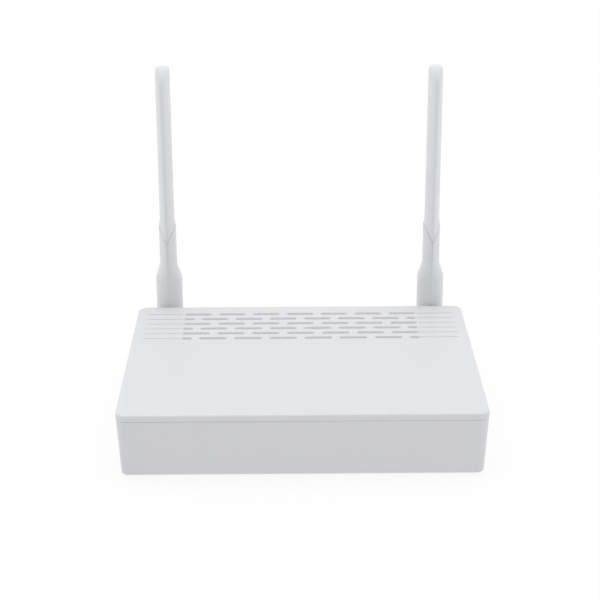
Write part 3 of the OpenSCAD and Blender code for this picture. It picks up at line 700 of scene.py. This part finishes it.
def sleeve_section(z, inset=0.0):
    """Round below the shoulder, blade-shaped above it, on the same count of points."""
    neck = neck_section(max(z, SHOULDER_Z[1]))
    if z >= SHOULDER_Z[1]:
        return neck
    r = SLEEVE_R - inset
    k = max(0.0, (z - SHOULDER_Z[0]) / (SHOULDER_Z[1] - SHOULDER_Z[0]))
    soft = k * k * (3 - 2 * k) * SHOULDER_EASE + k * (1 - SHOULDER_EASE)
    ring = []
    for x, y in neck:
        turn = math.atan2(y, x)
        ring.append((lerp(r * math.cos(turn), x, soft), lerp(r * math.sin(turn), y, soft)))
    return ring


def dome_z(y):
    """Height of the paddle's round upper end at depth y."""
    reach = max(0.0, abs(y) - (PADDLE_TIP[1] - TIP_ROUND))
    return TIP_Z - TIP_ROUND + math.sqrt(max(0.0, TIP_ROUND ** 2 - reach ** 2))


def hinge_place(side, ring):
    """Points given from the antenna's axis, with z from the case's underside, as case points."""
    return [(side * ANTENNA_X + x, ANTENNA_Y + y, z) for x, y, z in ring]


def flare(x, y, rise, neck):
    """Widens the paddle's foot until it is nearly flush with the neck at the seam."""
    share = FLARE_SHARE * max(0.0, 1 - rise / FLARE_H) ** 2
    return lerp(x, neck[0], share), lerp(y, neck[1], share)


def paddle_foot():
    """Rings from the V-shaped seam up to where the paddle has its own section."""
    rows = []
    for rise in PADDLE_FOOT_RISES:
        shrink = SEAM_CHAMFER if rise < 0 else 1.0
        row = []
        for i, (nx, _) in enumerate(neck_section(SEAM_MIDDLE_Z)):
            z = seam_z(nx) + rise + PADDLE_SEAM_GAP
            x, y = flare(*paddle_section(z)[i], max(rise, 0.0), neck_section(z)[i])
            row.append((x * shrink, y * shrink, z))
        rows.append(row)
    return rows


def dome_ring():
    """Where the paddle's sides would meet its round upper end if the edge were sharp."""
    ring = []
    for i, (_, y) in enumerate(paddle_section(TIP_Z)):
        height = dome_z(paddle_section(dome_z(y))[i][1])
        ring.append((*paddle_section(height)[i], height))
    return ring


def paddle_rings():
    """Rings from the V-shaped seam over the round edge of the upper end."""
    rows = paddle_foot()
    top = dome_ring()
    edges = [min(TIP_EDGE, TIP_EDGE_SHARE * abs(x)) for x, _, _ in top]
    foot = rows[-1]
    for k in PADDLE_SHARES:
        heights = [lerp(foot[i][2], top[i][2] - edges[i], k) for i in range(len(top))]
        rows.append([(*paddle_section(z)[i], z) for i, z in enumerate(heights)])
    steps = 6
    for step in range(1, steps + 1):
        turn = math.radians(90 * step / steps)
        row = []
        for (x, y, z), edge in zip(top, edges):
            inset = edge * (1 - math.cos(turn))
            row.append((math.copysign(max(abs(x) - inset, 0.0), x), y, z - edge * (1 - math.sin(turn))))
        rows.append(row)
    return rows


def ruled_cap(shell, ring, side, axis):
    """Closes a symmetric ring with straight strips: axis 0 pairs points of one x, 1 of one y."""
    pairs = {}
    for point in ring:
        pairs.setdefault(round(point[axis], 4), []).append(point)
    rows = [sorted(pairs[k], key=lambda p: p[1 - axis]) for k in sorted(pairs)]
    for a, b in zip(rows, rows[1:]):
        corners = []
        for point in (a[0], a[-1], b[-1], b[0]):
            if point not in corners:
                corners.append(point)
        if len(corners) > 2:
            shell.face(hinge_place(side, corners))


def build_radome(side, name):
    shell = Shell()
    rows = paddle_rings()
    shell.stack([hinge_place(side, r) for r in rows])
    ruled_cap(shell, rows[-1], side, 1)
    ruled_cap(shell, rows[0], side, 0)
    return smooth(shell.build(name), 50)


def parting_line(ring, depth=0.13, half_width=0.12):
    """Presses the mould's fine parting line into the middle of the front and the rear."""
    marked = []
    for x, y, z in ring:
        if abs(x) < 1e-6:
            outward = 1 if y > 0 else -1
            marked.append((outward * half_width, y, z))
            marked.append((0.0, y - outward * depth, z))
            marked.append((-outward * half_width, y, z))
        else:
            marked.append((x, y, z))
    return marked


def sleeve_rings():
    """Rings from the sleeve's lower end over the shoulder and the neck to the seam."""
    rows = []
    for inset, rise in SLEEVE_EDGE:
        z = SLEEVE_BOTTOM + rise
        rows.append([(x, y, z) for x, y in sleeve_section(z, inset)])
    shoulder = [lerp(*SHOULDER_Z, i / SHOULDER_STEPS) for i in range(SHOULDER_STEPS + 1)]
    for z in (*SLEEVE_RING_Z, *shoulder, NECK_START_Z):
        rows.append([(x, y, z) for x, y in sleeve_section(z)])
    for k in NECK_SHARES:
        shrink = SEAM_CHAMFER if k == NECK_SHARES[-1] else 1.0
        row = []
        for i, (nx, _) in enumerate(neck_section(SEAM_MIDDLE_Z)):
            z = lerp(NECK_START_Z, seam_z(nx) - SLEEVE_SEAM_GAP, k)
            x, y = neck_section(z)[i]
            row.append((x * shrink, y * shrink, z))
        rows.append(row)
    return [parting_line(r) for r in rows]


def tongue(shell, side):
    """Solid round-ended tongue between the hinge ears, round the pin."""
    steps = 24
    profile = [(-TONGUE_R, TONGUE_TOP)]
    for i in range(steps + 1):
        turn = math.radians(180 + 180 * i / steps)
        profile.append((TONGUE_R * math.cos(turn), HINGE_Z + TONGUE_R * math.sin(turn)))
    profile.append((TONGUE_R, TONGUE_TOP))
    face = TONGUE_HALF - TONGUE_EDGE
    rings = []
    for x, shrink in ((-TONGUE_HALF, TONGUE_EDGE), (-face, 0), (face, 0), (TONGUE_HALF, TONGUE_EDGE)):
        k = 1 - shrink / TONGUE_R
        rings.append([
            (x, y * k, lerp(TONGUE_MIDDLE_Z, z, k) if z < SLEEVE_BOTTOM else z) for y, z in profile
        ])
    shell.stack([hinge_place(side, r) for r in rings])
    shell.cap(hinge_place(side, rings[0]))
    shell.cap(hinge_place(side, rings[-1]))


def build_sleeve(side, name):
    shell = Shell()
    rows = sleeve_rings()
    shell.stack([hinge_place(side, r) for r in rows])
    shell.cap(hinge_place(side, rows[0]))
    ruled_cap(shell, rows[-1], side, 0)
    tongue(shell, side)
    return smooth(shell.build(name), 50)


# ---------- Materials ----------


def node_of(tree, kind, **values):
    node = tree.nodes.new(kind)
    for key, value in values.items():
        setattr(node, key, value)
    return node


# Where most of a noise lies
NOISE_MIDDLE = (0.3, 0.7)
# Scale of the uneven gloss, as a multiple of that of the colour patches
GLOSS_PER_PATCH = 4
GRAIN_DETAIL = 2.0


def noise(tree, coords, scale, detail=3.0, rough=0.5):
    """Noise in object space; scale is in cells per metre."""
    node = node_of(tree, "ShaderNodeTexNoise")
    node.inputs["Scale"].default_value = scale
    node.inputs["Detail"].default_value = detail
    node.inputs["Roughness"].default_value = rough
    tree.links.new(coords.outputs["Object"], node.inputs["Vector"])
    return node.outputs["Fac"]


def spread(tree, value, low, high):
    """Maps the middle of a noise onto low to high."""
    node = node_of(tree, "ShaderNodeMapRange")
    node.inputs["From Min"].default_value = NOISE_MIDDLE[0]
    node.inputs["From Max"].default_value = NOISE_MIDDLE[1]
    node.inputs["To Min"].default_value = low
    node.inputs["To Max"].default_value = high
    tree.links.new(value, node.inputs["Value"])
    return node.outputs["Result"]


def two_tones(tree, value, low, high):
    """Mixes two colours by value."""
    node = node_of(tree, "ShaderNodeMix", data_type="RGBA")
    for socket in node.inputs:
        if socket.name == "A" and socket.type == "RGBA":
            socket.default_value = (*low, 1)
        if socket.name == "B" and socket.type == "RGBA":
            socket.default_value = (*high, 1)
    tree.links.new(value, node.inputs["Factor"])
    return next(s for s in node.outputs if s.type == "RGBA")


def finish(name, low, high, rough, grain, bump, metallic=0.0, patch=60.0, **sockets):
    """A moulded or machined finish: two close tones, uneven gloss and a fine grain.

    rough is the range of the roughness, grain and patch are noise scales, and bump is the
    grain's strength and its height in metres. sockets are further inputs of the shader.
    """
    material = bpy.data.materials.new(name)
    material.use_nodes = True
    tree = material.node_tree
    shader = tree.nodes["Principled BSDF"]
    shader.inputs["Metallic"].default_value = metallic
    for socket, value in sockets.items():
        shader.inputs[socket.replace("_", " ")].default_value = value
    coords = node_of(tree, "ShaderNodeTexCoord")
    tree.links.new(two_tones(tree, noise(tree, coords, patch), low, high), shader.inputs["Base Color"])
    gloss = spread(tree, noise(tree, coords, patch * GLOSS_PER_PATCH), *rough)
    tree.links.new(gloss, shader.inputs["Roughness"])
    bumps = node_of(tree, "ShaderNodeBump")
    bumps.inputs["Strength"].default_value = bump[0]
    bumps.inputs["Distance"].default_value = bump[1]
    tree.links.new(noise(tree, coords, grain, GRAIN_DETAIL), bumps.inputs["Height"])
    tree.links.new(bumps.outputs["Normal"], shader.inputs["Normal"])
    return material


def grey(value):
    return (value, value, value)


CASE_LOW = (0.628, 0.629, 0.640)
CASE_HIGH = (0.640, 0.641, 0.652)
# The case's white painted lighter for the antennas: painted light that makes up for the shade that the
# antennas stand in
ANTENNA_PAINTED_LIGHT_LOW = (0.668, 0.670, 0.681)
ANTENNA_PAINTED_LIGHT_HIGH = (0.680, 0.682, 0.693)
WHITE_ROUGH = (0.44, 0.54)

# Grain: strength, and height in metres
POLISHED = (0.08, 0.00001)
SMOOTH = (0.1, 0.00001)
SHRUNK = (0.1, 0.00002)
TURNED = (0.15, 0.00001)
MOULDED = (0.15, 0.00002)
PRESSED = (0.2, 0.00002)
TEXTURED = (0.25, 0.00002)
SANDED = (0.3, 0.00002)
COATED = (0.25, 0.00003)
SOFT = (0.4, 0.00003)
SINTERED = (0.5, 0.00003)
RUBBERY = (0.5, 0.00004)

# Further values of a finish: arguments of finish, and inputs of the shader with _ for a space
PLAIN = {}
METAL = {"metallic": 1.0}
MILKY = {"Subsurface_Weight": 0.12, "Subsurface_Radius": (1, 1, 1), "Subsurface_Scale": 0.0012}
CLEAR = {"Transmission_Weight": 0.06, "IOR": 1.49}
LACQUERED = {"patch": 420.0, "Coat_Weight": 0.3}

# Two tones, range of roughness, scale of the grain, grain, further values
LOOKS = {
    "case_plastic": (CASE_LOW, CASE_HIGH, WHITE_ROUGH, 2600, MOULDED, MILKY),
    # the case's white painted lighter, as painted light against the shade on the antennas
    "antenna_plastic_painted_light": (ANTENNA_PAINTED_LIGHT_LOW, ANTENNA_PAINTED_LIGHT_HIGH, WHITE_ROUGH, 2600, MOULDED, MILKY),
    "key_plastic": ((0.66, 0.67, 0.69), (0.69, 0.70, 0.72), (0.36, 0.46), 3200, MOULDED, PLAIN),
    "clear_plastic": ((0.72, 0.73, 0.745), (0.76, 0.77, 0.785), (0.2, 0.28), 900, POLISHED, CLEAR),
    "led_lens": ((0.75, 0.74, 0.62), (0.82, 0.80, 0.68), (0.25, 0.35), 1500, SMOOTH, PLAIN),
    "foot_rubber": (grey(0.035), grey(0.05), (0.7, 0.85), 1800, RUBBERY, PLAIN),
    "screw_steel": (grey(0.5), grey(0.6), (0.25, 0.38), 2200, TURNED, METAL),
    "label_film": (grey(0.62), grey(0.66), (0.3, 0.38), 1200, SMOOTH, PLAIN),
    "board_laminate": ((0.012, 0.085, 0.035), (0.02, 0.14, 0.055), (0.28, 0.4), 700, COATED, LACQUERED),
    "chip_epoxy": (grey(0.022), grey(0.03), (0.5, 0.62), 2500, SANDED, PLAIN),
    "thermal_pad": ((0.25, 0.32, 0.42), (0.29, 0.36, 0.46), (0.75, 0.9), 900, SOFT, PLAIN),
    "sink_aluminium": (grey(0.6), grey(0.7), (0.3, 0.42), 1800, PRESSED, METAL),
    "shield_tin": ((0.6, 0.59, 0.56), (0.7, 0.69, 0.66), (0.28, 0.4), 1300, PRESSED, METAL),
    "fibre_blue": ((0.02, 0.13, 0.42), (0.03, 0.17, 0.5), (0.35, 0.45), 2400, MOULDED, PLAIN),
    "cap_black": (grey(0.02), grey(0.03), (0.42, 0.55), 2200, TEXTURED, PLAIN),
    "lan_yellow": ((0.75, 0.48, 0.05), (0.82, 0.54, 0.07), (0.36, 0.46), 2400, MOULDED, PLAIN),
    "contact_gold": ((0.8, 0.56, 0.2), (0.9, 0.66, 0.27), (0.18, 0.3), 2400, SMOOTH, METAL),
    "tel_grey": ((0.33, 0.34, 0.35), (0.38, 0.39, 0.4), (0.4, 0.5), 2400, MOULDED, PLAIN),
    "switch_black": (grey(0.018), grey(0.027), (0.4, 0.52), 2000, PRESSED, PLAIN),
    "tongue_white": (grey(0.62), grey(0.68), (0.38, 0.48), 2400, MOULDED, PLAIN),
    "capacitor_sleeve": (grey(0.03), grey(0.045), (0.25, 0.35), 1500, SHRUNK, PLAIN),
    "ferrite": (grey(0.045), grey(0.07), (0.6, 0.75), 3000, SINTERED, PLAIN),
    "ceramic": ((0.42, 0.34, 0.25), (0.5, 0.42, 0.32), (0.4, 0.55), 2600, PRESSED, PLAIN),
    "lead_jacket": (grey(0.02), grey(0.035), (0.4, 0.5), 1500, PRESSED, PLAIN),
    "element_brass": ((0.72, 0.52, 0.22), (0.8, 0.6, 0.28), (0.25, 0.38), 2000, TURNED, METAL),
}
FINISHES = {name: finish(name, *look[:-1], **look[-1]) for name, look in LOOKS.items()}


def dress(piece, look):
    piece.data.materials.clear()
    piece.data.materials.append(FINISHES[look])


# Width of a CAD node's rounded edges, in millimetres
BEVEL = 0.15
BEVELS = {
    "main_board": 0.1, "lan_contacts": 0.04, "tel_contacts": 0.04, "chip_components": 0.04,
    "antenna_left_lead": 0.0, "antenna_right_lead": 0.0,
}
BEVEL_FROM = math.radians(40)
FLAT_WITHIN = math.radians(1)


def bevel_node(piece, width):
    """Joins a CAD node's flat faces and rounds its hard edges, all in modifiers."""
    planar = piece.modifiers.new("planar", "DECIMATE")
    planar.decimate_type = "DISSOLVE"
    planar.angle_limit = FLAT_WITHIN
    edges = piece.modifiers.new("edges", "BEVEL")
    edges.width = width
    edges.segments = 2
    edges.limit_method = "ANGLE"
    edges.angle_limit = BEVEL_FROM
    edges.use_clamp_overlap = True
    piece.data.shade_smooth()
    piece.modifiers.new("weighted", "WEIGHTED_NORMAL")


def dress_cad_nodes(replaced):
    """Looks and rounded edges for every CAD node that keeps its own mesh."""
    slot_of = {entry["node"]: entry["material_slot"] for entry in frame["record"]["subparts"]}
    for name, piece in frame["nodes"].items():
        if name in replaced:
            continue
        # the swivels take the antennas' white, which is painted lighter as painted light against their
        # shade
        dress(piece, "antenna_plastic_painted_light" if name.endswith("_swivel") else slot_of[name])
        bevel_node(piece, BEVELS.get(name, BEVEL) * MM)


def add_piece(piece, body, node, look="case_plastic"):
    """Puts a white moulding on its body in the place of a CAD node, and returns that node."""
    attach(piece, body)
    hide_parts(node)
    dress(piece, look)
    return node


def build_object():
    replaced = [add_piece(build_lid(), "case", "top_cover")]
    replaced.append(add_piece(build_bottom(), "case", "bottom_case"))
    for side, word in ((-1, "left"), (1, "right")):
        body = f"{word}_antenna"
        paddle = build_radome(side, f"{word}_paddle")
        sleeve = build_sleeve(side, f"{word}_sleeve")
        # the antennas' white is painted lighter, as painted light against the shade they stand in
        replaced.append(add_piece(paddle, body, f"antenna_{word}_radome", "antenna_plastic_painted_light"))
        replaced.append(add_piece(sleeve, body, f"antenna_{word}_sleeve", "antenna_plastic_painted_light"))
    dress_cad_nodes(replaced)


# ---------- Camera, floor and light ----------

# Camera: place in the frame's millimetres, turns in radians, lens in millimetres
CAMERA_PLACE = (-6.605, -758.203, 351.970)
CAMERA_YAW = 0.0081
CAMERA_PITCH = 0.3676
CAMERA_ROLL = -0.0033
CAMERA_SENSOR = 36.0
CAMERA_LENS = 96.136

# Floor: half its side in metres, and a faint tone under its own glow
STAGE_HALF = 60.0
STAGE_TONE = 0.14
STAGE_ROUGH = 0.9
STAGE_GLOW = 0.84

# Studio light
SKY_FRONT = 0.585
SKY_REAR = 1.1
SKY_SIDES = 0.42
SKY_TINT = (0.98, 0.99, 1.0, 1)
SUN_STRENGTH = 0.62
SUN_WIDTH = math.radians(60)
SUN_TILT = math.radians(-6)


def add_camera():
    """Camera fitted to the outline of the case and the antennas."""
    cos_pitch = math.cos(CAMERA_PITCH)
    forward = Vector((
        math.sin(CAMERA_YAW) * cos_pitch, math.cos(CAMERA_YAW) * cos_pitch, -math.sin(CAMERA_PITCH),
    ))
    flat_right = Vector((math.cos(CAMERA_YAW), -math.sin(CAMERA_YAW), 0))
    flat_up = flat_right.cross(forward)
    right = flat_right * math.cos(CAMERA_ROLL) + flat_up * math.sin(CAMERA_ROLL)
    up = flat_up * math.cos(CAMERA_ROLL) - flat_right * math.sin(CAMERA_ROLL)
    data = bpy.data.cameras.new("camera")
    data.sensor_width = CAMERA_SENSOR
    data.lens = CAMERA_LENS
    data.clip_start = 0.01
    camera = bpy.data.objects.new("camera", data)
    bpy.context.scene.collection.objects.link(camera)
    turned = Matrix((right, up, -forward)).transposed().to_4x4()
    turned.translation = Vector(CAMERA_PLACE) * MM
    camera.matrix_world = turned
    bpy.context.scene.camera = camera


def add_floor():
    """Wide floor with a glow of its own, so that it comes out white round faint shadows."""
    mesh = bpy.data.meshes.new("floor")
    half = STAGE_HALF
    corners = [(-half, -half, 0), (half, -half, 0), (half, half, 0), (-half, half, 0)]
    mesh.from_pydata(corners, [], [(0, 1, 2, 3)])
    floor = bpy.data.objects.new("floor", mesh)
    bpy.context.scene.collection.objects.link(floor)
    material = bpy.data.materials.new("floor")
    material.use_nodes = True
    shader = material.node_tree.nodes["Principled BSDF"]
    shader.inputs["Base Color"].default_value = (*grey(STAGE_TONE), 1)
    shader.inputs["Roughness"].default_value = STAGE_ROUGH
    shader.inputs["Specular IOR Level"].default_value = 0.0
    shader.inputs["Emission Color"].default_value = (1, 1, 1, 1)
    shader.inputs["Emission Strength"].default_value = STAGE_GLOW
    mesh.materials.append(material)


def add_world():
    """Soft studio light: dim behind the camera, brighter towards the sides and the rear."""
    world = bpy.data.worlds.new("studio")
    bpy.context.scene.world = world
    world.use_nodes = True
    tree = world.node_tree
    coords = node_of(tree, "ShaderNodeTexCoord")
    split = node_of(tree, "ShaderNodeSeparateXYZ")
    tree.links.new(coords.outputs["Generated"], split.inputs["Vector"])
    depth = node_of(tree, "ShaderNodeMapRange")
    depth.inputs["From Min"].default_value = -1.0
    depth.inputs["From Max"].default_value = 1.0
    depth.inputs["To Min"].default_value = SKY_FRONT
    depth.inputs["To Max"].default_value = SKY_REAR
    tree.links.new(split.outputs["Y"], depth.inputs["Value"])
    across = node_of(tree, "ShaderNodeMath", operation="ABSOLUTE")
    tree.links.new(split.outputs["X"], across.inputs[0])
    total = node_of(tree, "ShaderNodeMath", operation="MULTIPLY_ADD")
    tree.links.new(across.outputs[0], total.inputs[0])
    total.inputs[1].default_value = SKY_SIDES
    tree.links.new(depth.outputs["Result"], total.inputs[2])
    tree.links.new(total.outputs[0], tree.nodes["Background"].inputs["Strength"])
    tree.nodes["Background"].inputs["Color"].default_value = SKY_TINT


def add_sun():
    """Broad light from overhead."""
    data = bpy.data.lights.new("overhead", "SUN")
    data.energy = SUN_STRENGTH
    data.angle = SUN_WIDTH
    sun = bpy.data.objects.new("overhead", data)
    sun.rotation_euler = (SUN_TILT, 0, 0)
    bpy.context.scene.collection.objects.link(sun)


add_camera()
build_object()
add_floor()
add_world()
add_sun()
bpy.context.scene.view_settings.view_transform = "Standard"
